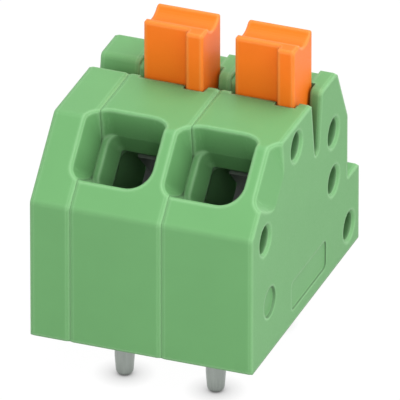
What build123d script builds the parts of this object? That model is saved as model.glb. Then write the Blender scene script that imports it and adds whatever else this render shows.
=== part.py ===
"""Two-pole push-button spring terminal block for circuit boards.

A row of moulded modules, one for each pole, closed on the left by an end cover.
Each module is open on its left side and holds a bent current bar with two solder
pins, a cage-clamp spring and a push button that opens the clamp.

Frame: +X to the right along the row, +Y from the wire side to the back, +Z up.
The origin is the centre of the underside, where the block meets the board.
All sizes are in millimetres.
"""
import math
import os

from build123d import *

# Row of modules
pole_pitch = 5.08
pole_count = 2
cover_width = 2.2

# Side outline of the housing, from front to back
block_height = 11.5
entry_run = 3.6
entry_angle = 45.0
block_back = 8.82
groove_mouth = 1.53
groove_foot = 0.5
groove_foot_rounding = 0.48
groove_depth = 3.3
tower_depth = 2.3
slant_run = 1.6
slant_foot_height = 8.2
step_depth = 1.75
step_height = 4.43

# Softened edges
end_bevel_width = 0.2
end_bevel_depth = 0.06
crease_radius = 0.4
block_edge_radius = 0.12
tower_edge_radius = 0.32
step_edge_radius = 0.2
mouth_edge_bevel = 0.1
rim_bevel = 0.16

# Step in the tower's top, with a rib at the module's right end
tower_drop = 0.27
rib_width = 0.9
rib_slope_run = 0.15

# Conductor entry, measured along the entry face (up the slope) and into it
mouth_overlap = 0.46
mouth_right_wall = 1.21
mouth_low = 1.62
mouth_high = 6.3
shoulder_depth = 2.2
shoulder_low = 1.9
shoulder_high = 4.92
shoulder_right_draft = 0.05
shoulder_width = 0.36
throat_depth = 3.2
throat_left = 0.87
throat_right_draft = 0.12
throat_low = 2.15
throat_high = 4.48
mouth_corner_radii = (0.75, 1.3, 1.05, 1.2)
funnel_foot_radii = (0.75, 1.3, 1.05, 0.6)
throat_corner_radii = (0.6, 0.9, 0.5, 0.5)
lip_corner_radii = (0.3, 0.6, 0.2, 0.12)
lip_thickness = 0.2
lip_undercut = 0.25

# Clamp chamber
floor_thickness = 0.9
front_wall = 0.6
chamber_depth = 4.12
roof_thickness = 1.7
groove_web = 0.6
chamber_corner_radius = 0.3
floor_corner_radius = 0.15

# Push button
button_front = 8.78
button_back = 11.0
button_width = 3.47
button_stand = 3.2
button_travel = 1.6
button_side_gap = 0.15
button_back_gap = 0.1
button_front_gap = 0.25
button_edge_radius = 0.12
finger_groove_depth = 0.42
finger_groove_radius = 1.1
finger_groove_front = 0.325
rib_front = 8.27
button_rib_width = 0.95
button_rib_foot = 0.45
button_rib_gap = 0.1
foot_front = 9.5
foot_shoulder = 1.0
foot_flat_depth = 0.7
lug_reach = 0.25
lug_height = 0.55
lug_depth = 0.5
lug_ledge = 2.3
lug_clearance = 0.06

# Current bar and clamping spring
bar_thickness = 0.6
bar_width = 2.2
bar_inner_radius = 0.4
bar_upright = 10.2
bar_end_gap = 0.18
contact_gap = 0.05
spring_thickness = 0.35
spring_width = 3.3
bow_radius = 0.6
bow_start = 1.28
clamp_leg_depth = 3.55
clamp_leg_end = 1.6
clamp_bend_radius = 0.3
window_width = 2.4
window_play = 0.05
window_headroom = 0.5
spring_button_gap = 0.15

# Solder pins
pin_front = 1.4
pin_row_spacing = 7.62
pin_radius = 0.53
pin_straight = 1.0
pin_length = 2.08
pin_tip_radius = 0.45
pin_tip_fillet = 0.3
pin_collar_radius = 0.7
pin_slot_gap = 0.08
pin_shank_radius = 0.35
pin_shank_gap = 0.02
pin_head_radius = 0.7
pin_head_height = 0.25

# Joining pegs and holes; their places are set back or down from the outline's corners
joint_block_inset = 2.26
joint_block_drop = 1.3
joint_tower_inset = 0.55
joint_waist_inset = 0.5
joint_waist_rise = 0.9
joint_foot_inset = 0.25
joint_foot_height = 1.4
joint_nose_inset = 1.95
joint_nose_drop = 0.9
joint_radius = 0.75
joint_hole_depth = 0.85
peg_clearance = 0.05
peg_length = 0.7
peg_chamfer = 0.15
ejector_mark_radius = 0.85
ejector_mark_depth = 0.15
ejector_mark_place = (2.6, 3.0)
label_recess_front = 5.85
label_recess_back = 11.0
label_recess_low = 0.77
label_recess_high = 2.4
label_recess_depth = 0.07
label_recess_corner = 0.3

# Worked-out places
slope_cos = math.cos(math.radians(entry_angle))
slope_sin = math.sin(math.radians(entry_angle))
front_height = block_height - entry_run * math.tan(math.radians(entry_angle))
tower_front = block_back + groove_mouth
tower_back = tower_front + tower_depth
rear_face = tower_back + slant_run
body_depth = rear_face + step_depth
total_width = cover_width + pole_count * pole_pitch
pole_centre = pole_pitch / 2
groove_floor = block_height - groove_depth
shaft_front = button_front - button_front_gap
shaft_back = button_back + button_back_gap
shaft_left = pole_centre - button_width / 2 - button_side_gap
shaft_right = pole_centre + button_width / 2 + button_side_gap
chamber_back = shaft_back
chamber_roof = block_height - roof_thickness
back_roof = groove_floor - groove_web
mouth_right = pole_pitch - mouth_right_wall
contact_low = throat_high + contact_gap
contact_high = contact_low + bar_thickness
spring_back = contact_high + 2 * spring_thickness + 2 * bow_radius
clamp_leg_place = chamber_depth + clamp_leg_depth
pin_rear = pin_front + pin_row_spacing
joint_places = (
    (block_back - joint_block_inset, block_height - joint_block_drop),
    (tower_back - joint_tower_inset, slant_foot_height),
    (tower_back - joint_waist_inset, step_height + joint_waist_rise),
    (rear_face + joint_foot_inset, joint_foot_height),
    (joint_nose_inset, front_height - joint_nose_drop),
)

EPS = 0.01
OVER = 1.0


def slope_point(depth, rise):
    """Depth and height of a point that lies a depth behind the entry face."""
    along = rise * slope_cos + depth * slope_sin
    height = front_height + rise * slope_sin - depth * slope_cos
    return along, height


def side_plane(x):
    """Plane whose sketch axes are the block's depth and height."""
    return Plane(origin=(x, 0, 0), x_dir=(0, 1, 0), z_dir=(1, 0, 0))


def clamp_plane(x):
    """Side plane turned so that its axes run into and up the entry face."""
    return Plane(origin=(x, 0, front_height), x_dir=(0, slope_sin, -slope_cos), z_dir=(1, 0, 0))


def entry_plane(depth):
    """Plane parallel to the entry face, a depth behind it."""
    behind = Vector(0, slope_sin, -slope_cos) * depth
    origin = Vector(0, 0, front_height) + behind
    return Plane(origin=origin, x_dir=(1, 0, 0), z_dir=(0, -slope_sin, slope_cos))


def box_between(low, high):
    """Box from its lowest to its highest corner."""
    size = [top - bottom for bottom, top in zip(low, high)]
    return Pos(*low) * Box(*size, align=(Align.MIN, Align.MIN, Align.MIN))


def slab(plane, sketch, thickness):
    """Prism of a sketch laid on a plane, along the plane's normal whichever way the sketch was drawn."""
    return extrude(plane * sketch, amount=thickness, dir=plane.z_dir)


def rounded(sketch, corner, radius):
    """Sketch with the vertex nearest to a corner rounded."""
    place = (*corner, 0)
    return fillet(sketch.vertices().sort_by_distance(place)[0], radius)


def side_outline(tower_height):
    """Side outline of the housing, with the tower at a given height."""
    middle = block_back + groove_mouth / 2
    drop = block_height - tower_height
    flank_slope = (groove_mouth - groove_foot) / 2 / groove_depth
    slant_slope = slant_run / (block_height - slant_foot_height)
    groove = [
        (block_back, block_height),
        (middle - groove_foot / 2, groove_floor),
        (middle + groove_foot / 2, groove_floor),
        (tower_front - drop * flank_slope, tower_height),
    ]
    crease_low = (0, front_height)
    crease_high = (entry_run, block_height)
    tower_rear = (tower_back + drop * slant_slope, tower_height)
    slant_foot = (rear_face, slant_foot_height)
    step_top = (body_depth, step_height)
    step_root = (rear_face, step_height)
    outline = Polygon(
        (0, 0), crease_low, crease_high, *groove, tower_rear, slant_foot,
        step_root, step_top, (body_depth, 0), align=None,
    )
    outline = rounded(outline, crease_low, crease_radius)
    outline = rounded(outline, crease_high, crease_radius)
    outline = rounded(outline, groove[0], block_edge_radius)
    outline = rounded(outline, groove[1], groove_foot * groove_foot_rounding)
    outline = rounded(outline, groove[2], groove_foot * groove_foot_rounding)
    outline = rounded(outline, groove[3], tower_edge_radius)
    outline = rounded(outline, tower_rear, tower_edge_radius)
    outline = rounded(outline, slant_foot, crease_radius)
    outline = rounded(outline, step_root, step_edge_radius)
    return rounded(outline, step_top, step_edge_radius)


def soften_ends(body, ends):
    """Ease the outline's edges on the given end faces, except along the underside."""
    for x in ends:
        face = body.faces().filter_by(Axis.X).sort_by_distance((x, body_depth / 2, block_height / 2))[0]
        edges = [edge for edge in face.edges() if edge.center().Z > EPS]
        body = chamfer(edges, end_bevel_depth, end_bevel_width, reference=face)
    return body


def lerp(start, end, share):
    """Value between two others."""
    return start + (end - start) * share


def entry_section(depth, left, right, low, high, radii):
    """Rounded rectangle parallel to the entry face; radii run from lower left, counter-clockwise."""
    corners = ((left, low), (right, low), (right, high), (left, high))
    section = Polygon(*corners, align=None)
    for corner, radius in zip(corners, radii):
        section = rounded(section, corner, radius)
    return entry_plane(depth) * section


def funnel():
    """Tapered wire entry, from outside the entry face down to its shoulder."""

    def section(depth):
        share = depth / shoulder_depth
        return entry_section(
            depth,
            lerp(-mouth_overlap, 0, share),
            lerp(mouth_right, mouth_right - shoulder_right_draft, share),
            lerp(mouth_low, shoulder_low, share),
            lerp(mouth_high, shoulder_high, share),
            [lerp(mouth, foot, share) for mouth, foot in zip(mouth_corner_radii, funnel_foot_radii)],
        )

    return loft([section(-OVER / 2), section(shoulder_depth)], ruled=True)


def throat():
    """Narrow part of the wire entry, from the shoulder into the clamp chamber."""
    upper = entry_section(
        shoulder_depth - EPS, shoulder_width, mouth_right - shoulder_right_draft,
        shoulder_low, shoulder_high, throat_corner_radii,
    )
    inward = (0, slope_sin, -slope_cos)
    right = mouth_right - throat_right_draft
    lip = entry_section(throat_depth, throat_left, right, throat_low, throat_high, lip_corner_radii)
    passage = extrude(lip, amount=lip_thickness + EPS, dir=inward)
    behind = throat_depth + lip_thickness
    wide = entry_section(
        behind, throat_left - lip_undercut, right + lip_undercut, throat_low - lip_undercut,
        throat_high + lip_undercut, throat_corner_radii,
    )
    passage += extrude(wide, amount=chamber_depth + OVER / 2 - behind, dir=inward)
    return loft([upper, lip], ruled=True) + passage


def cut_entry(body, cutter, end):
    """Body with a wire entry cut across one end face, and the entry's outer edges softened."""
    opened = body - cutter
    inward = Vector(0, slope_sin, -slope_cos)
    edges = []
    for edge in new_edges(body, cutter, combined=opened):
        middle = edge @ 0.5
        behind_face = (middle - Vector(0, 0, front_height)).dot(inward)
        outside = min(behind_face, block_height - middle.Z) < end_bevel_depth + mouth_edge_bevel
        if outside and abs(middle.X - end) > EPS:
            edges.append(edge)
    return chamfer(edges, mouth_edge_bevel)


def joint_holes(x):
    """Blind holes for a neighbour's pegs in a right-hand face."""
    cuts = Part()
    for place in joint_places:
        cuts += slab(side_plane(x), Pos(*place) * Circle(joint_radius), -joint_hole_depth)
    return cuts


def soften_rims(body, x):
    """Bevel the rims of the joining holes."""
    edges = []
    for depth, height in joint_places:
        edges.append(body.edges().filter_by(GeomType.CIRCLE).sort_by_distance((x, depth, height + joint_radius))[0])
    return chamfer(edges, rim_bevel)


def joint_pegs():
    """Pegs on a module's left-hand face."""
    pegs = Part()
    for place in joint_places:
        peg = slab(side_plane(EPS), Pos(*place) * Circle(joint_radius - peg_clearance), -peg_length)
        pegs += chamfer(peg.faces().sort_by(Axis.X)[0].edges(), peg_chamfer)
    return pegs


def side_marks(x):
    """Shallow ejector mark and bare label recess in a right-hand face."""
    mark = slab(side_plane(x), Pos(*ejector_mark_place) * Circle(ejector_mark_radius), -ejector_mark_depth)
    length = label_recess_back - label_recess_front
    height = label_recess_high - label_recess_low
    centre = (label_recess_front + length / 2, label_recess_low + height / 2)
    label = Pos(*centre) * RectangleRounded(length, height, label_recess_corner)
    return mark + slab(side_plane(x), label, -label_recess_depth)


def make_cover():
    """End cover that closes the first module's open side."""
    body = slab(side_plane(0), side_outline(block_height), cover_width)
    body = soften_ends(body, (0, cover_width))
    body = cut_entry(body, Pos(cover_width, 0, 0) * funnel(), cover_width)
    body -= joint_holes(cover_width)
    return soften_rims(body, cover_width)


def tower_step():
    """What is taken off the tower's top to the left of its rib."""
    rib_left = pole_pitch - rib_width
    low = block_height - tower_drop - tower_edge_radius
    flank = Polygon(
        (-OVER, low), (rib_left - rib_slope_run, low), (rib_left - rib_slope_run, block_height - tower_drop),
        (rib_left, block_height + EPS), (rib_left, block_height + OVER), (-OVER, block_height + OVER), align=None,
    )
    band = slab(Plane.XZ.offset(-tower_front + groove_mouth / 2), flank, -2 * (tower_depth + slant_run))
    return band - slab(side_plane(-2 * OVER), side_outline(block_height - tower_drop), pole_pitch + 3 * OVER)


def clamp_chamber():
    """Room for the current bar and the spring, open on the module's left side."""
    wall_foot = (front_wall - chamber_depth * slope_sin) / slope_cos
    wall_top = (chamber_roof - front_height + chamber_depth * slope_cos) / slope_sin
    front_floor = (front_wall, floor_thickness)
    slant_foot = slope_point(chamber_depth, wall_foot)
    slant_top = slope_point(chamber_depth, wall_top)
    roof_end = max(shaft_front, slant_top[0] + chamber_corner_radius)
    back_top = (chamber_back, back_roof)
    back_floor = (chamber_back, floor_thickness)
    outline = Polygon(
        front_floor, slant_foot, slant_top, (roof_end, chamber_roof), (roof_end, back_roof),
        back_top, back_floor, align=None,
    )
    for corner in (slant_foot, slant_top, back_top):
        outline = rounded(outline, corner, chamber_corner_radius)
    for corner in (front_floor, back_floor):
        outline = rounded(outline, corner, floor_corner_radius)
    return slab(side_plane(-OVER), outline, shaft_right + OVER)


def button_shaft():
    """Shaft for the push button, with the rib's notch and the lugs' pocket."""
    top = block_height + OVER
    shaft = box_between((shaft_left, shaft_front, back_roof - OVER), (shaft_right, shaft_back, top))
    rib_right = pole_centre + button_width / 2
    rib_left = rib_right - button_rib_width
    shaft += box_between(
        (rib_left - button_rib_gap, rib_front - button_rib_gap, chamber_roof - OVER),
        (rib_right + button_rib_gap, shaft_front + EPS, top),
    )
    ledge = block_height - lug_ledge
    reach = button_width / 2 + lug_reach + lug_clearance
    pocket_foot = ledge - lug_height - button_travel - lug_reach
    pocket_front = button_back - lug_depth - button_back_gap
    return shaft + box_between(
        (pole_centre - reach, pocket_front, pocket_foot),
        (pole_centre + reach, shaft_back, ledge),
    )


def pin_slots():
    """Slots in the floor through which the solder pins leave, open to the left."""
    slots = Part()
    half = pin_collar_radius + pin_slot_gap
    for depth in (pin_front, pin_rear):
        slots += box_between((-OVER, depth - half, -OVER), (pole_centre, depth + half, floor_thickness + OVER / 2))
        slots += Pos(pole_centre, depth, 0) * Cylinder(half, 2 * (floor_thickness + OVER / 2))
    return slots


def make_housing():
    """Moulded module of one pole."""
    body = slab(side_plane(0), side_outline(block_height), pole_pitch)
    body = soften_ends(body, (0, pole_pitch))
    body -= tower_step()
    body = cut_entry(body, funnel(), 0)
    body = cut_entry(body, Pos(pole_pitch, 0, 0) * funnel(), pole_pitch)
    body -= throat()
    body -= clamp_chamber()
    body -= button_shaft()
    body -= pin_slots()
    body -= joint_holes(pole_pitch)
    body = soften_rims(body, pole_pitch)
    body -= side_marks(pole_pitch)
    return body + joint_pegs()


def make_button():
    """Push button with a finger groove, a front rib, a foot and two retaining lugs."""
    top = block_height + button_stand
    left = pole_centre - button_width / 2
    right = pole_centre + button_width / 2
    under = spring_back + spring_button_gap
    shoulder = block_height - foot_shoulder

    def spring_side(depth):
        into = (depth - under * slope_cos) / slope_sin
        return slope_point(into, under)

    flat_start = button_back - foot_flat_depth
    outline = Polygon(
        (button_front, shoulder), (foot_front, shoulder), spring_side(foot_front), spring_side(flat_start),
        (button_back, spring_side(flat_start)[1]), (button_back, top), (button_front, top), align=None,
    )
    body = slab(side_plane(left), outline, button_width)
    rib_low = (right - button_rib_width, rib_front, block_height - button_rib_foot)
    body += box_between(rib_low, (right, button_front + EPS, top))
    uprights = body.edges().filter_by(Axis.Z).filter_by(lambda edge: edge.center().Z > shoulder)
    crown = body.faces().sort_by(Axis.Z)[-1].edges()
    body = fillet(uprights + crown, button_edge_radius)
    groove_half = math.sqrt(finger_groove_radius ** 2 - (finger_groove_radius - finger_groove_depth) ** 2)
    groove_centre = button_front + finger_groove_front + groove_half
    groove = Pos(groove_centre, top - finger_groove_depth + finger_groove_radius) * Circle(finger_groove_radius)
    body -= slab(side_plane(left - OVER), groove, button_width + 2 * OVER)
    lug_top = block_height - lug_ledge - lug_clearance
    lug_outline = Polygon(
        (left - lug_reach, lug_top), (right + lug_reach, lug_top), (right + lug_reach, lug_top - lug_height + lug_reach),
        (right, lug_top - lug_height), (left, lug_top - lug_height), (left - lug_reach, lug_top - lug_height + lug_reach),
        align=None,
    )
    lugs = slab(Plane.XZ.offset(-button_back), lug_outline, lug_depth)
    return body + lugs


def sheet(path, thickness, side):
    """Face of a bent strip that follows a path, given one of its surfaces."""
    return make_face(offset(path, thickness, side=side, closed=True))


def make_current_bar():
    """Bent bar: contact strip above the wire, upright and base strip with pin holes."""
    start = chamber_depth + bar_end_gap
    turn = (bar_upright - contact_low * slope_cos) / slope_sin
    base_top = floor_thickness + bar_thickness
    path = FilletPolyline(
        slope_point(start, contact_low), slope_point(turn, contact_low), (bar_upright, base_top),
        (front_wall + bar_end_gap, base_top), radius=bar_inner_radius,
    )
    strip = sheet(path, bar_thickness, Side.LEFT)
    bar = slab(side_plane(pole_centre - bar_width / 2), strip, bar_width)
    for depth in (pin_front, pin_rear):
        bar -= Pos(pole_centre, depth, floor_thickness) * Cylinder(pin_shank_radius + pin_shank_gap, 4 * bar_thickness)
    return bar


def make_spring():
    """Cage-clamp spring: fixed leg on the bar, bow, back and a leg with a window."""
    fixed_leg = contact_high + spring_thickness
    bow_place = chamber_depth + bow_start
    back = fixed_leg + 2 * bow_radius
    leg_start = (clamp_leg_place - 2 * spring_thickness, fixed_leg)
    lower = Line(leg_start, (bow_place, fixed_leg))
    bow = JernArc(lower @ 1, (-1, 0), bow_radius, -180)
    upper = Line(bow @ 1, (clamp_leg_place - clamp_bend_radius, back))
    bend = JernArc(upper @ 1, (1, 0), clamp_bend_radius, -90)
    leg = Line(bend @ 1, (clamp_leg_place, clamp_leg_end))
    path = lower + bow + upper + bend + leg
    strip = sheet(path, spring_thickness, Side.LEFT)
    spring = slab(clamp_plane(pole_centre - spring_width / 2), strip, spring_width)
    low = (clamp_leg_place - spring_thickness, contact_low - window_play)
    high = (clamp_leg_place + 2 * spring_thickness, contact_high + window_headroom)
    window = Polygon(low, (high[0], low[1]), high, (low[0], high[1]), align=None)
    return spring - slab(clamp_plane(pole_centre - window_width / 2), window, window_width)


def make_pin(depth):
    """Solder pin with a rounded tip, a collar in the floor and a riveted head on the bar."""
    bar_top = floor_thickness + bar_thickness
    half = Polygon(
        (0, bar_top + pin_head_height), (pin_head_radius, bar_top + pin_head_height), (pin_head_radius, bar_top),
        (pin_shank_radius, bar_top), (pin_shank_radius, floor_thickness), (pin_collar_radius, floor_thickness),
        (pin_collar_radius, 0), (pin_radius, 0), (pin_radius, -pin_straight), (pin_tip_radius, -pin_length),
        (0, -pin_length), align=None,
    )
    half = rounded(half, (pin_tip_radius, -pin_length), pin_tip_fillet)
    return Pos(pole_centre, depth, 0) * revolve(Plane.XZ * half, Axis.Z)


def place(piece, x):
    """Piece moved from its own module to the block's frame."""
    return Pos(x - total_width / 2, -body_depth / 2, 0) * piece


def main():
    pieces = {"end_cover": place(make_cover(), 0)}
    housing = make_housing()
    button = make_button()
    bar = make_current_bar()
    spring = make_spring()
    front_pin = make_pin(pin_front)
    rear_pin = make_pin(pin_rear)
    for pole in range(1, pole_count + 1):
        x = cover_width + (pole - 1) * pole_pitch
        pieces[f"housing_{pole}"] = place(housing, x)
        pieces[f"release_button_{pole}"] = place(button, x)
        pieces[f"current_bar_{pole}"] = place(bar, x)
        pieces[f"clamping_spring_{pole}"] = place(spring, x)
        pieces[f"solder_pin_front_{pole}"] = place(front_pin, x)
        pieces[f"solder_pin_rear_{pole}"] = place(rear_pin, x)
    os.makedirs("parts", exist_ok=True)
    for name, piece in pieces.items():
        export_step(piece, f"parts/{name}.step")


main()
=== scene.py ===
"""Dresses a two-pole push-button spring terminal block and sets it on a plain studio stage.

The frame gives every piece its place. This script gives the mouldings their satin plastic and the
current bars their plating. It makes the solder pins and the springs as smooth meshes. It adds the
floor, light and camera.
"""
import math

import bmesh
import bpy
from bpy.props import FloatProperty, FloatVectorProperty, IntProperty, PointerProperty
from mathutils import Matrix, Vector


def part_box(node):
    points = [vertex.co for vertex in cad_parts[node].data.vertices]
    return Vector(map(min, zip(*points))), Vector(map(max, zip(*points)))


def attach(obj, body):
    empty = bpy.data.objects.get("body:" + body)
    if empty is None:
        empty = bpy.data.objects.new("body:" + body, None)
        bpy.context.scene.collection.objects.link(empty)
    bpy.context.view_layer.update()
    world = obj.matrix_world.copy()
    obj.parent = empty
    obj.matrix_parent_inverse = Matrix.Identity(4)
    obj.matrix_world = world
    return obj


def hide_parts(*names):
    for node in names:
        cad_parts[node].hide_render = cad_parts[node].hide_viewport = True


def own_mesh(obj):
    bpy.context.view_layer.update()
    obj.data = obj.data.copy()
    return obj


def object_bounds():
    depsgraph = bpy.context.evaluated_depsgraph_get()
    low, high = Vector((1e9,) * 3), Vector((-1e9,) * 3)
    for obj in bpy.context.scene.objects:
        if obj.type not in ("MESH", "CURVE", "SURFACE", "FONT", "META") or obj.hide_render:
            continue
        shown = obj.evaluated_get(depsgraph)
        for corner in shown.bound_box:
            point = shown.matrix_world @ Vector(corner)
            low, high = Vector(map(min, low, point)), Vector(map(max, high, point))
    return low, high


bl_info = {
    "name": "Spring terminal block",
    "version": (1, 0, 0),
    "blender": (4, 5, 0),
    "location": "View3D > Sidebar > Terminal block",
    "description": "Finishes, springs, turned pins, stage and camera for a board-mounted terminal block",
    "category": "Object",
}

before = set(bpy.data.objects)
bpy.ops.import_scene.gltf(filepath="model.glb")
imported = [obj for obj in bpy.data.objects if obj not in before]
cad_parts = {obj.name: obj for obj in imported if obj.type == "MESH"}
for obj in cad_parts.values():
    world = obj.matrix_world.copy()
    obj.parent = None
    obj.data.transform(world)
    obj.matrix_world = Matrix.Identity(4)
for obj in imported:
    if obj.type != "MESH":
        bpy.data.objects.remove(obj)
cad_low, cad_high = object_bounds()

MM = 0.001
HOUSINGS = ("end_cover", "housing_1", "housing_2")
BUTTONS = ("release_button_1", "release_button_2")
BARS = ("current_bar_1", "current_bar_2")
SPRINGS = ("clamping_spring_1", "clamping_spring_2")
PINS = ("solder_pin_front_1", "solder_pin_front_2", "solder_pin_rear_1", "solder_pin_rear_2")

# Meshes
MERGE_DISTANCE = 0.001 * MM
SHARP_ANGLE = math.radians(30)
TIP_STEPS = 8

# Noise: its detail, and the middle range that most of its values lie in
MOTTLE_DETAIL = 3
GRAIN_DETAIL = 4
NOISE_LOW = 0.35
NOISE_HIGH = 0.65

# Cosine of the turn from the true to the softened normal where the painted edge highlight starts and is full
EDGE_HIGHLIGHT_STARTS = 0.9995
EDGE_HIGHLIGHT_FULL = 0.98

# Share of open surroundings at which the painted shade in a recess is darkest and at which it ends
PAINTED_SHADE_DARKEST = 0.15
PAINTED_SHADE_ENDS = 0.8
# Samples of the edge softening and the painted recess shade, and of the floor's painted contact shadow
SURFACE_SAMPLES = 8
CONTACT_SAMPLES = 16

# How the streaks' pattern is stretched along each axis of the metal pieces
PIN_STREAKS = (1, 1, 0.1)
BAR_STREAKS = (1, 8, 1)
SPRING_STREAKS = (8, 1, 1)

# Places of a colour Mix node's sockets, whose names its other kinds of socket share
MIX_SHARE = 0
MIX_FIRST = 6
MIX_SECOND = 7
MIX_RESULT = 2
WHITE = (1, 1, 1, 1)

# Lamps: place from the block's centre and side of the lit square, in millimetres
LAMPS = {
    "front": ((46, -123, 72), 60),
    "key": ((90, -20, 115), 80),
    "side": ((140, -20, 60), 90),
    "overhead": ((10, 45, 145), 110),
    "left": ((-140, -20, 60), 90),
    "back": ((40, 145, 25), 90),
}

# Camera: the picture's scale, the sensor in millimetres, and clipping as shares of the distance
PICTURE_PIXELS = 400
PIXELS_PER_MM = 19.15
SENSOR_WIDTH = 36
NEAR_CLIP = 0.1
FAR_CLIP = 4


def length_setting(name, description, millimetres):
    """Property for a length."""
    return FloatProperty(name=name, description=description, default=millimetres * MM, unit="LENGTH")


def share_setting(name, description, default, low=0):
    """Property for a share of one."""
    return FloatProperty(
        name=name, description=description, default=default, min=low, max=1, subtype="FACTOR",
    )


def angle_setting(name, description, degrees):
    """Property for an angle."""
    return FloatProperty(name=name, description=description, default=math.radians(degrees), subtype="ANGLE")


def strength_setting(name, description, default):
    """Property for the strength of a light that has no power of its own, where 1 is white."""
    return FloatProperty(name=name, description=description, default=default, min=0)


def power_setting(name, description, watts):
    """Property for a lamp's power."""
    return FloatProperty(name=name, description=description, default=watts, min=0, unit="POWER")


def colour_setting(name, description, default):
    """Property for a colour."""
    return FloatVectorProperty(
        name=name, description=description, default=default, size=3, subtype="COLOR", min=0, max=1,
    )


class HousingFinish(bpy.types.PropertyGroup):
    """Green moulded polyamide of the modules and the end cover."""

    colour: colour_setting("Colour", "Base colour of the mouldings", (0.158, 0.396, 0.15))
    mottle: share_setting("Mottling", "Share by which the colour varies", 0.015)
    mottle_size: length_setting("Mottling size", "Size of the colour variation", 2.5)
    roughness: share_setting("Roughness", "Middle roughness of the surface", 0.48)
    roughness_spread: share_setting("Roughness spread", "How far the roughness varies", 0.04)
    gloss: share_setting("Gloss", "Strength of the plain reflection", 0.22)
    grain_size: length_setting("Grain size", "Size of the mould's eroded grain", 0.09)
    grain_depth: length_setting("Grain depth", "Height of the grain", 0.004)
    grain_strength: share_setting("Grain strength", "How strongly the grain shows", 0.35)
    edge_softness: length_setting("Edge softness", "Radius over which sharp edges are softened", 0.28)
    # Painted highlight: the colour turns paler along the edges
    edge_highlight_strength: share_setting("Edge highlight", "How far the painted highlight turns the edges paler", 0.42)
    edge_highlight_colour: colour_setting("Edge highlight colour", "Colour of the painted highlight on the edges", (0.36, 0.66, 0.34))
    # Painted shade: the colour is darkened in recesses, where shade falls
    painted_shade_strength: share_setting("Painted recess shade", "How much painted shade darkens the recesses", 0.7)
    painted_shade_reach: length_setting("Recess reach", "Size of the recesses that take painted shade", 4)
    # The wire passages past these lips and left of this wall take no painted shade
    passage_start: length_setting(
        "Passage start", "Depth less height at which the wire entries' lips end", -11,
    )
    passage_right: length_setting("Passage right", "Place of the last pole's right wall", 5.2)


class ButtonFinish(bpy.types.PropertyGroup):
    """Orange moulded plastic of the push buttons."""

    colour: colour_setting("Colour", "Base colour of the buttons", (1.0, 0.2, 0.012))
    mottle: share_setting("Mottling", "Share by which the colour varies", 0.015)
    mottle_size: length_setting("Mottling size", "Size of the colour variation", 2.0)
    roughness: share_setting("Roughness", "Middle roughness of the surface", 0.42)
    roughness_spread: share_setting("Roughness spread", "How far the roughness varies", 0.04)
    gloss: share_setting("Gloss", "Strength of the plain reflection", 0.22)
    grain_size: length_setting("Grain size", "Size of the mould's eroded grain", 0.08)
    grain_depth: length_setting("Grain depth", "Height of the grain", 0.004)
    grain_strength: share_setting("Grain strength", "How strongly the grain shows", 0.3)
    edge_softness: length_setting("Edge softness", "Radius over which sharp edges are softened", 0.28)
    # Painted highlight: the colour turns paler along the edges
    edge_highlight_strength: share_setting("Edge highlight", "How far the painted highlight turns the edges paler", 0.42)
    edge_highlight_colour: colour_setting("Edge highlight colour", "Colour of the painted highlight on the edges", (1.0, 0.42, 0.12))
    # Painted shade: the colour is darkened in recesses, where shade falls
    painted_shade_strength: share_setting("Painted recess shade", "How much painted shade darkens the recesses", 0.25)
    painted_shade_reach: length_setting("Recess reach", "Size of the recesses that take painted shade", 4)


class PinSizes(bpy.types.PropertyGroup):
    """Turned solder pins, two to a pole, on the circuit board's grid."""

    pole_pitch: length_setting("Pole pitch", "Spacing of the poles", 5.08)
    row_spacing: length_setting("Row spacing", "Spacing of the front and rear pins", 7.62)
    radius: length_setting("Radius", "Radius of the pin at the board", 0.53)
    straight: length_setting("Straight length", "Length below the housing that is straight", 1.0)
    tip_radius: length_setting("Tip radius", "Radius of the tip", 0.45)
    tip_rounding: length_setting("Tip rounding", "Rounding of the tip's edge", 0.3)
    collar_radius: length_setting("Collar radius", "Radius of the collar in the floor", 0.7)
    collar_top: length_setting("Collar top", "Height of the collar's top", 0.9)
    shank_radius: length_setting("Shank radius", "Radius of the shank in the bar", 0.35)
    head_radius: length_setting("Head radius", "Radius of the riveted head", 0.7)
    head_height: length_setting("Head height", "Height of the riveted head", 0.25)
    sides: IntProperty(name="Sides", description="Number of sides of each turned pin", default=64, min=8)


class TinFinish(bpy.types.PropertyGroup):
    """Tin plating of the current bars and the solder pins."""

    colour: colour_setting("Colour", "Colour of the plating", (0.3, 0.33, 0.305))
    tint: share_setting("Tint", "Share by which the colour varies", 0.06)
    roughness: share_setting("Roughness", "Middle roughness of the plating", 0.34)
    roughness_spread: share_setting("Roughness spread", "How far the roughness varies", 0.06)
    streak_size: length_setting("Streak size", "Width of the drawn streaks", 0.12)
    streak_depth: length_setting("Streak depth", "Height of the streaks", 0.01)
    streak_strength: share_setting("Streak strength", "How strongly the streaks show", 0.25)


class SpringFinish(bpy.types.PropertyGroup):
    """Rolled strip steel of the clamping springs, and how they give way."""

    colour: colour_setting("Colour", "Colour of the strip", (0.36, 0.37, 0.37))
    tint: share_setting("Tint", "Share by which the colour varies", 0.06)
    roughness: share_setting("Roughness", "Middle roughness of the strip", 0.36)
    roughness_spread: share_setting("Roughness spread", "How far the roughness varies", 0.06)
    streak_size: length_setting("Streak size", "Width of the rolling streaks", 0.08)
    streak_depth: length_setting("Streak depth", "Height of the streaks", 0.01)
    streak_strength: share_setting("Streak strength", "How strongly the streaks show", 0.3)
    entry_angle: angle_setting(
        "Entry angle", "Slant of the wire entry, square to which a pressed spring flattens", 45,
    )
    pressed_share: share_setting(
        "Pressed share", "Share of its height off the bar that a spring keeps under a pressed button",
        0.45, low=0.01,
    )


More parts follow.
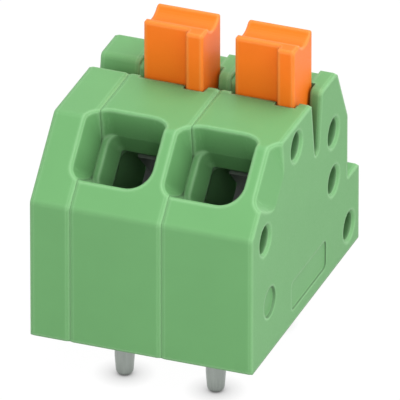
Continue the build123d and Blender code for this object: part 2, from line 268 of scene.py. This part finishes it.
class Stage(bpy.types.PropertyGroup):
    """Floor, light and camera."""

    azimuth: angle_setting("Azimuth", "Camera's turn about the block, from its wire side", 20.7)
    elevation: angle_setting("Elevation", "Camera's height above the horizon", 28.7)
    lens: FloatProperty(
        name="Lens", description="Focal length in millimetres", default=1650, min=1, unit="CAMERA",
    )
    picture_width: length_setting(
        "Picture width", "Width that the picture covers at the block", PICTURE_PIXELS / PIXELS_PER_MM,
    )
    offset_right: length_setting("Offset right", "Aim to the right of the block's centre", 0.245)
    offset_down: length_setting("Offset down", "Aim below the block's centre", 1.065)
    floor_reach: length_setting("Floor reach", "Half of the floor's side", 400)
    floor_colour: colour_setting("Floor colour", "Colour of the floor", (0.6, 0.6, 0.6))
    floor_glow: strength_setting("Floor glow", "Strength of the floor's plain white", 1.03)
    floor_whiteness: share_setting(
        "Floor whiteness", "Share of plain white in the floor that the camera and reflections see", 0.96,
    )
    # Painted shadow: the floor's plain white darkens near each pin's tip
    painted_shadow_reach: length_setting(
        "Painted contact shadow", "How far the painted soft shadow spreads from each pin's tip", 1.3,
    )
    sky: strength_setting("Sky strength", "Strength of the even light from all round", 0.37)
    front: power_setting("Front power", "Lamp in front of the block, in watts", 0.093)
    key: power_setting("Key power", "Lamp at the upper right, in watts", 0.08)
    side: power_setting("Side power", "Lamp on the right, in watts", 0.028)
    overhead: power_setting("Overhead power", "Lamp above the block, in watts", 0.09)
    left: power_setting("Left power", "Lamp on the left, in watts", 0.05)
    back: power_setting("Back power", "Low lamp behind the block, in watts", 0.045)


def add(tree, kind, **settings):
    """New node of a kind, with its plain settings."""
    node = tree.nodes.new(kind)
    for key, value in settings.items():
        setattr(node, key, value)
    return node


def connect(value, socket):
    """Link a socket to another one, or set it to a plain value."""
    if isinstance(value, bpy.types.NodeSocket):
        socket.id_data.links.new(value, socket)
    else:
        socket.default_value = value


def feed(node, **values):
    """Fill a node's inputs by name, with underscores for the spaces, and return the node."""
    for key, value in values.items():
        connect(value, node.inputs[key.replace("_", " ")])
    return node


def math_node(tree, operation, *values):
    """Result of a Math node on sockets or numbers."""
    node = add(tree, "ShaderNodeMath", operation=operation)
    for value, socket in zip(values, node.inputs):
        connect(value, socket)
    return node.outputs["Value"]


def mix_colours(tree, share, first, second, blend_type="MIX"):
    """Result of mixing two colours, each a socket or a plain colour."""
    node = add(tree, "ShaderNodeMix", data_type="RGBA", blend_type=blend_type)
    for value, place in ((share, MIX_SHARE), (first, MIX_FIRST), (second, MIX_SECOND)):
        connect(value, node.inputs[place])
    return node.outputs[MIX_RESULT]


def mix_shaders(tree, share, first, second):
    """Result of mixing two shaders."""
    node = add(tree, "ShaderNodeMixShader")
    for value, socket in zip((share, first, second), node.inputs):
        connect(value, socket)
    return node.outputs["Shader"]


def noise(tree, place, size, detail):
    """Noise of a size at a place, both in metres."""
    node = feed(add(tree, "ShaderNodeTexNoise"), Vector=place, Scale=1 / size, Detail=detail)
    return node.outputs["Fac"]


def ramp_between(tree, source, low, high):
    """Noise with its middle range mapped onto a range of values."""
    node = feed(
        add(tree, "ShaderNodeMapRange"), Value=source,
        From_Min=NOISE_LOW, From_Max=NOISE_HIGH, To_Min=low, To_Max=high,
    )
    return node.outputs["Result"]


def shade(colour, factor):
    """Colour scaled in brightness, with full opacity."""
    return (*(channel * factor for channel in colour), 1)


def varied_colour(tree, source, colour, spread):
    """Colour that a noise varies by a share either way."""
    share = ramp_between(tree, source, 0, 1)
    return mix_colours(tree, share, shade(colour, 1 - spread), shade(colour, 1 + spread))


def varied_roughness(tree, source, finish):
    """Roughness that a noise varies by the finish's spread either way."""
    spread = finish.roughness_spread
    return ramp_between(tree, source, finish.roughness - spread, finish.roughness + spread)


def new_material(name):
    """Material with an empty node tree, and its tree."""
    material = bpy.data.materials.new(name)
    material.use_nodes = True
    material.node_tree.nodes.clear()
    return material, material.node_tree


def painted_edge_highlight(tree, softened, finish):
    """Mask of the painted highlight on the edges, where the softened normal turns away from the true one."""
    turn = add(tree, "ShaderNodeVectorMath", operation="DOT_PRODUCT")
    true_normal = add(tree, "ShaderNodeNewGeometry").outputs["True Normal"]
    for value, socket in zip((softened, true_normal), turn.inputs):
        connect(value, socket)
    mask = feed(
        add(tree, "ShaderNodeMapRange"), Value=turn.outputs["Value"],
        From_Min=EDGE_HIGHLIGHT_STARTS, From_Max=EDGE_HIGHLIGHT_FULL, To_Min=0, To_Max=finish.edge_highlight_strength,
    )
    return mask.outputs["Result"]


def painted_recess_darkening(tree, finish):
    """Painted shade: grey that darkens the surface's colour in recesses, where shade falls."""
    recess = feed(
        add(tree, "ShaderNodeAmbientOcclusion", samples=SURFACE_SAMPLES), Distance=finish.painted_shade_reach,
    )
    depth = feed(add(tree, "ShaderNodeValToRGB"), Fac=recess.outputs["AO"])
    deepest, end = depth.color_ramp.elements
    deepest.position = PAINTED_SHADE_DARKEST
    deepest.color = shade((1, 1, 1), 1 - finish.painted_shade_strength)
    end.position = PAINTED_SHADE_ENDS
    return depth.outputs["Color"]


def inside_passages(tree, place, finish):
    """Mask of the surfaces past the wire entries' lips, which take no painted recess shade."""
    axes = feed(add(tree, "ShaderNodeSeparateXYZ"), Vector=place).outputs
    depth = math_node(tree, "SUBTRACT", axes["Y"], axes["Z"])
    past_lip = math_node(tree, "GREATER_THAN", depth, finish.passage_start)
    left_of_wall = math_node(tree, "LESS_THAN", axes["X"], finish.passage_right)
    return math_node(tree, "MULTIPLY", past_lip, left_of_wall)


def moulded_plastic(name, finish, passages=False):
    """Satin injection-moulded plastic: faint mottling, eroded grain, a painted highlight on the edges and
    painted shade in recesses.
    """
    material, tree = new_material(name)
    place = add(tree, "ShaderNodeTexCoord").outputs["Object"]
    mottle = noise(tree, place, finish.mottle_size, MOTTLE_DETAIL)
    grain = noise(tree, place, finish.grain_size, GRAIN_DETAIL)
    bevel = feed(add(tree, "ShaderNodeBevel", samples=SURFACE_SAMPLES), Radius=finish.edge_softness)
    softened = bevel.outputs["Normal"]

    colour = varied_colour(tree, mottle, finish.colour, finish.mottle)
    # Painted highlight: paler colour along the edges
    colour = mix_colours(tree, painted_edge_highlight(tree, softened, finish), colour, (*finish.edge_highlight_colour, 1))
    # Painted shade: darker colour in recesses, left out inside the wire passages
    painted_darkening = painted_recess_darkening(tree, finish)
    if passages:
        painted_darkening = mix_colours(tree, inside_passages(tree, place, finish), painted_darkening, WHITE)
    colour = mix_colours(tree, 1, colour, painted_darkening, blend_type="MULTIPLY")
    relief = feed(
        add(tree, "ShaderNodeBump"), Height=grain, Normal=softened,
        Strength=finish.grain_strength, Distance=finish.grain_depth,
    )
    surface = feed(
        add(tree, "ShaderNodeBsdfPrincipled"), Base_Color=colour, Specular_IOR_Level=finish.gloss,
        Roughness=varied_roughness(tree, grain, finish), Normal=relief.outputs["Normal"],
    )
    feed(add(tree, "ShaderNodeOutputMaterial"), Surface=surface.outputs["BSDF"])
    return material


def bright_metal(name, finish, stretch):
    """Plated or rolled metal: streaks along one axis in the colour, the roughness and the relief."""
    material, tree = new_material(name)
    place = add(tree, "ShaderNodeTexCoord").outputs["Object"]
    stretched = feed(add(tree, "ShaderNodeMapping"), Vector=place, Scale=stretch).outputs["Vector"]
    streaks = noise(tree, stretched, finish.streak_size, GRAIN_DETAIL)
    relief = feed(
        add(tree, "ShaderNodeBump"), Height=streaks,
        Strength=finish.streak_strength, Distance=finish.streak_depth,
    )
    surface = feed(
        add(tree, "ShaderNodeBsdfPrincipled"), Metallic=1,
        Base_Color=varied_colour(tree, streaks, finish.colour, finish.tint),
        Roughness=varied_roughness(tree, streaks, finish), Normal=relief.outputs["Normal"],
    )
    feed(add(tree, "ShaderNodeOutputMaterial"), Surface=surface.outputs["BSDF"])
    return material


def dress(nodes, material):
    """Give CAD nodes a material in place of their plain one."""
    for name in nodes:
        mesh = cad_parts[name].data
        mesh.materials.clear()
        mesh.materials.append(material)


def new_object(name, data):
    """New object in the scene, for a mesh, a lamp or a camera."""
    added = bpy.data.objects.new(name, data)
    bpy.context.scene.collection.objects.link(added)
    return added


def mend_mesh(mesh, mend):
    """Run a step of mesh editing on a mesh, then shade it smooth up to its sharp edges."""
    shape = bmesh.new()
    shape.from_mesh(mesh)
    mend(shape)
    shape.to_mesh(mesh)
    shape.free()
    mesh.shade_smooth()
    mesh.set_sharp_from_angle(angle=SHARP_ANGLE)


class TERMINALBLOCK_OT_finish_housings(bpy.types.Operator):
    """Dress the two modules and the end cover in green moulded plastic."""

    bl_idname = "terminalblock.finish_housings"
    bl_label = "Finish housings"

    def execute(self, context):
        finish = context.scene.housing_finish
        dress(HOUSINGS, moulded_plastic("green moulded plastic", finish, passages=True))
        return {"FINISHED"}


class TERMINALBLOCK_OT_finish_buttons(bpy.types.Operator):
    """Dress the push buttons in orange moulded plastic."""

    bl_idname = "terminalblock.finish_buttons"
    bl_label = "Finish buttons"

    def execute(self, context):
        dress(BUTTONS, moulded_plastic("orange moulded plastic", context.scene.button_finish))
        return {"FINISHED"}


class TERMINALBLOCK_OT_finish_bars(bpy.types.Operator):
    """Dress the current bars inside the modules."""

    bl_idname = "terminalblock.finish_bars"
    bl_label = "Finish current bars"

    def execute(self, context):
        dress(BARS, bright_metal("tinned copper strip", context.scene.tin_finish, BAR_STREAKS))
        return {"FINISHED"}


def merge_triangles(shape):
    """Join the loose triangles of a CAD mesh."""
    bmesh.ops.remove_doubles(shape, verts=shape.verts, dist=MERGE_DISTANCE)


class TERMINALBLOCK_OT_make_springs(bpy.types.Operator):
    """Make the clamping springs as smooth meshes in place of the CAD ones."""

    bl_idname = "terminalblock.make_springs"
    bl_label = "Make clamping springs"

    def execute(self, context):
        finish = context.scene.spring_finish
        steel = bright_metal("rolled spring steel", finish, SPRING_STREAKS)
        for pole, (name, bar) in enumerate(zip(SPRINGS, BARS), start=1):
            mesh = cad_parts[name].data.copy()
            mend_mesh(mesh, merge_triangles)
            mesh.materials.clear()
            mesh.materials.append(steel)
            strip = new_object(f"{name}_strip", mesh)
            # The bar's contact strip, which the spring lies on, ends at the bar's highest point
            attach(strip, "block")
            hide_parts(name)
            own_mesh(strip)
        return {"FINISHED"}


def pin_profile(sizes, low, high):
    """Outline of a turned pin, as radius and height from its tip's centre to its head's centre."""
    lean = (sizes.radius - sizes.tip_radius) / (-sizes.straight - low)
    round_radius = sizes.tip_radius + sizes.tip_rounding * (lean - math.hypot(1, lean))
    points = [(0, low)]
    for step in range(TIP_STEPS + 1):
        angle = (math.pi / 2 - math.atan(lean)) * step / TIP_STEPS
        across = round_radius + sizes.tip_rounding * math.sin(angle)
        points.append((across, low + sizes.tip_rounding * (1 - math.cos(angle))))
    head_low = high - sizes.head_height
    return points + [
        (sizes.radius, -sizes.straight), (sizes.radius, 0),
        (sizes.collar_radius, 0), (sizes.collar_radius, sizes.collar_top),
        (sizes.shank_radius, sizes.collar_top), (sizes.shank_radius, head_low),
        (sizes.head_radius, head_low), (sizes.head_radius, high), (0, high),
    ]


def turned_pins_tree():
    """Geometry nodes that turn an outline about the upright axis and set the result on a two by two grid."""
    tree = bpy.data.node_groups.new("turned pins", "GeometryNodeTree")
    tree.interface.new_socket("Outline", in_out="INPUT", socket_type="NodeSocketGeometry")
    for name, kind in (
        ("Sides", "NodeSocketInt"), ("Pole Pitch", "NodeSocketFloat"), ("Row Spacing", "NodeSocketFloat"),
        ("Middle", "NodeSocketVector"), ("Material", "NodeSocketMaterial"),
    ):
        tree.interface.new_socket(name, in_out="INPUT", socket_type=kind)
    tree.interface.new_socket("Pins", in_out="OUTPUT", socket_type="NodeSocketGeometry")
    given = add(tree, "NodeGroupInput").outputs

    # A flat grid with a column for each side and a row for each point of the outline
    count = feed(add(tree, "GeometryNodeAttributeDomainSize", component="MESH"), Geometry=given["Outline"])
    points = count.outputs["Point Count"]
    last = math_node(tree, "SUBTRACT", points, 1)
    flat = feed(
        add(tree, "GeometryNodeMeshGrid"), Size_X=math.tau, Size_Y=last,
        Vertices_X=math_node(tree, "ADD", given["Sides"], 1), Vertices_Y=points,
    )

    # The grid's width becomes the angle, and each row takes its outline point's radius and height
    position = add(tree, "GeometryNodeInputPosition").outputs["Position"]
    place = feed(add(tree, "ShaderNodeSeparateXYZ"), Vector=position).outputs
    row = math_node(tree, "ROUND", math_node(tree, "ADD", place["Y"], math_node(tree, "DIVIDE", last, 2)))
    outline_point = add(tree, "GeometryNodeSampleIndex", data_type="FLOAT_VECTOR", domain="POINT")
    feed(outline_point, Geometry=given["Outline"], Value=position, Index=row)
    outline = feed(add(tree, "ShaderNodeSeparateXYZ"), Vector=outline_point.outputs["Value"]).outputs
    turned = feed(
        add(tree, "ShaderNodeCombineXYZ"),
        X=math_node(tree, "MULTIPLY", outline["X"], math_node(tree, "COSINE", place["X"])),
        Y=math_node(tree, "MULTIPLY", outline["X"], math_node(tree, "SINE", place["X"])),
        Z=outline["Z"],
    )
    turn = add(tree, "GeometryNodeSetPosition")
    feed(turn, Geometry=flat.outputs["Mesh"], Position=turned.outputs["Vector"])
    closed = add(tree, "GeometryNodeMergeByDistance")
    feed(closed, Geometry=turn.outputs["Geometry"], Distance=MERGE_DISTANCE)

    # A copy at each corner of the poles' and rows' grid
    grid = feed(
        add(tree, "GeometryNodeMeshGrid"), Vertices_X=2, Vertices_Y=2,
        Size_X=given["Pole Pitch"], Size_Y=given["Row Spacing"],
    )
    centred = add(tree, "GeometryNodeTransform")
    feed(centred, Geometry=grid.outputs["Mesh"], Translation=given["Middle"])
    copies = add(tree, "GeometryNodeInstanceOnPoints")
    feed(copies, Points=centred.outputs["Geometry"], Instance=closed.outputs["Geometry"])
    real = feed(add(tree, "GeometryNodeRealizeInstances"), Geometry=copies.outputs["Instances"])
    dressed = add(tree, "GeometryNodeSetMaterial")
    feed(dressed, Geometry=real.outputs["Geometry"], Material=given["Material"])
    feed(add(tree, "NodeGroupOutput"), Pins=dressed.outputs["Geometry"])
    return tree


def turn_faces_outwards(shape):
    """Make a closed mesh's faces point outwards."""
    bmesh.ops.recalc_face_normals(shape, faces=shape.faces)


def bake_nodes(piece, tree, values):
    """Run a geometry node tree on a piece with the named values, and keep the result as its plain mesh."""
    modifier = piece.modifiers.new("turned pins", "NODES")
    modifier.node_group = tree
    sockets = {item.name: item.identifier for item in tree.interface.items_tree if item.in_out == "INPUT"}
    for name, value in values.items():
        modifier[sockets[name]] = value
    ready = bpy.context.evaluated_depsgraph_get()
    evaluated = piece.evaluated_get(ready)
    mesh = bpy.data.meshes.new_from_object(evaluated, preserve_all_data_layers=True, depsgraph=ready)
    piece.modifiers.remove(modifier)
    piece.data = mesh
    mend_mesh(mesh, turn_faces_outwards)


class TERMINALBLOCK_OT_make_pins(bpy.types.Operator):
    """Turn the four solder pins from one outline."""

    bl_idname = "terminalblock.make_pins"
    bl_label = "Make solder pins"

    def execute(self, context):
        sizes = context.scene.pin_sizes
        corners = [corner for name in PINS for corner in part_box(name)]
        low = Vector(min(corner[axis] for corner in corners) for axis in range(3))
        high = Vector(max(corner[axis] for corner in corners) for axis in range(3))
        points = pin_profile(sizes, low.z, high.z)
        mesh = bpy.data.meshes.new("solder_pins")
        edges = [(first, first + 1) for first in range(len(points) - 1)]
        mesh.from_pydata([(across, 0, height) for across, height in points], edges, [])
        pins = new_object("solder_pins", mesh)
        middle = (low + high) / 2
        bake_nodes(pins, turned_pins_tree(), {
            "Sides": sizes.sides,
            "Pole Pitch": sizes.pole_pitch,
            "Row Spacing": sizes.row_spacing,
            "Middle": (middle.x, middle.y, 0),
            "Material": bright_metal("tinned copper pin", context.scene.tin_finish, PIN_STREAKS),
        })
        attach(pins, "block")
        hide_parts(*PINS)
        return {"FINISHED"}


def background_rays(tree):
    """One for rays of the camera, of reflections and through clear matter, which see plain white; else 0."""
    path = add(tree, "ShaderNodeLightPath").outputs
    seen = math_node(tree, "MAXIMUM", path["Is Camera Ray"], path["Is Glossy Ray"])
    return math_node(tree, "MAXIMUM", seen, path["Is Transmission Ray"])


def pale_floor(stage):
    """Matt pale paint, seen as plain white with a soft shadow where a piece touches, painted into the white
    and only faintly cast, and clear from below.
    """
    material, tree = new_material("pale floor")
    paint = feed(add(tree, "ShaderNodeBsdfDiffuse"), Color=(*stage.floor_colour, 1))
    # Painted shadow: the white that the camera sees darkens where the pins' tips touch
    painted_contact_shadow = add(tree, "ShaderNodeAmbientOcclusion", samples=CONTACT_SAMPLES)
    feed(painted_contact_shadow, Distance=stage.painted_shadow_reach)
    white = add(tree, "ShaderNodeEmission")
    feed(white, Color=painted_contact_shadow.outputs["Color"], Strength=stage.floor_glow)
    seen = math_node(tree, "MULTIPLY", background_rays(tree), stage.floor_whiteness)
    top = mix_shaders(tree, seen, paint.outputs["BSDF"], white.outputs["Emission"])
    below = add(tree, "ShaderNodeNewGeometry").outputs["Backfacing"]
    clear = add(tree, "ShaderNodeBsdfTransparent").outputs["BSDF"]
    feed(add(tree, "ShaderNodeOutputMaterial"), Surface=mix_shaders(tree, below, top, clear))
    return material


def make_floor(stage):
    """Large floor that the pins' tips touch."""
    half = stage.floor_reach
    low = cad_low.z
    mesh = bpy.data.meshes.new("floor")
    corners = [(-half, -half, low), (half, -half, low), (half, half, low), (-half, half, low)]
    mesh.from_pydata(corners, [], [(0, 1, 2, 3)])
    mesh.materials.append(pale_floor(stage))
    floor = new_object("floor", mesh)


def make_sky(scene, stage):
    """Even white light from all round, and plain white behind the floor."""
    world = bpy.data.worlds.new("sky")
    world.use_nodes = True
    tree = world.node_tree
    tree.nodes.clear()
    light = feed(add(tree, "ShaderNodeBackground"), Color=WHITE, Strength=stage.sky)
    plain = feed(add(tree, "ShaderNodeBackground"), Color=WHITE, Strength=1)
    sky = mix_shaders(tree, background_rays(tree), light.outputs["Background"], plain.outputs["Background"])
    feed(add(tree, "ShaderNodeOutputWorld"), Surface=sky)
    scene.world = world


def make_lamps(stage):
    """Soft square lamps, aimed at the block's centre."""
    centre = (cad_low + cad_high) / 2
    for name, (place, size) in LAMPS.items():
        data = bpy.data.lights.new(f"{name} lamp", "AREA")
        data.size = size * MM
        data.energy = getattr(stage, name)
        lamp = new_object(f"{name} lamp", data)
        lamp.location = centre + Vector(place) * MM
        lamp.rotation_euler = (centre - lamp.location).to_track_quat("-Z", "Y").to_euler()


def make_camera(scene, stage):
    """Long-lens camera at the picture's viewing angle."""
    centre = (cad_low + cad_high) / 2
    turn, rise = stage.azimuth, stage.elevation
    right = Vector((math.cos(turn), math.sin(turn), 0))
    back = Vector((math.sin(turn) * math.cos(rise), -math.cos(turn) * math.cos(rise), math.sin(rise)))
    up = back.cross(right)
    aim = centre + right * stage.offset_right - up * stage.offset_down
    data = bpy.data.cameras.new("camera")
    data.lens = stage.lens
    data.sensor_width = SENSOR_WIDTH
    distance = stage.picture_width * stage.lens / SENSOR_WIDTH
    data.clip_start = distance * NEAR_CLIP
    data.clip_end = distance * FAR_CLIP
    camera = new_object("camera", data)
    camera.location = aim + back * distance
    camera.rotation_euler = (-back).to_track_quat("-Z", "Y").to_euler()
    scene.camera = camera


class TERMINALBLOCK_OT_set_stage(bpy.types.Operator):
    """Add the floor, the sky, the lamps and the camera."""

    bl_idname = "terminalblock.set_stage"
    bl_label = "Set stage"

    def execute(self, context):
        stage = context.scene.block_stage
        make_floor(stage)
        make_sky(context.scene, stage)
        make_lamps(stage)
        make_camera(context.scene, stage)
        context.scene.view_settings.view_transform = "Standard"
        return {"FINISHED"}


class TERMINALBLOCK_PT_panel(bpy.types.Panel):
    """Finishes and steps of the terminal block."""

    bl_label = "Terminal block"
    bl_space_type = "VIEW_3D"
    bl_region_type = "UI"
    bl_category = "Terminal block"

    def draw(self, context):
        for step in OPERATORS:
            self.layout.operator(step.bl_idname)
        for name, group in SETTINGS.items():
            box = self.layout.box()
            box.label(text=group.__doc__)
            for key in group.__annotations__:
                box.prop(getattr(context.scene, name), key)


SETTINGS = {
    "housing_finish": HousingFinish,
    "button_finish": ButtonFinish,
    "pin_sizes": PinSizes,
    "tin_finish": TinFinish,
    "spring_finish": SpringFinish,
    "block_stage": Stage,
}
OPERATORS = (
    TERMINALBLOCK_OT_finish_housings,
    TERMINALBLOCK_OT_finish_buttons,
    TERMINALBLOCK_OT_finish_bars,
    TERMINALBLOCK_OT_make_springs,
    TERMINALBLOCK_OT_make_pins,
    TERMINALBLOCK_OT_set_stage,
)
CLASSES = (*SETTINGS.values(), *OPERATORS, TERMINALBLOCK_PT_panel)


def register():
    for cls in CLASSES:
        bpy.utils.register_class(cls)
    for name, group in SETTINGS.items():
        setattr(bpy.types.Scene, name, PointerProperty(type=group))


def unregister():
    for name in SETTINGS:
        delattr(bpy.types.Scene, name)
    for cls in reversed(CLASSES):
        bpy.utils.unregister_class(cls)


def main():
    register()
    bpy.ops.terminalblock.finish_housings()
    bpy.ops.terminalblock.finish_buttons()
    bpy.ops.terminalblock.finish_bars()
    bpy.ops.terminalblock.make_springs()
    bpy.ops.terminalblock.make_pins()
    bpy.ops.terminalblock.set_stage()


if __name__ == "__main__":
    main()
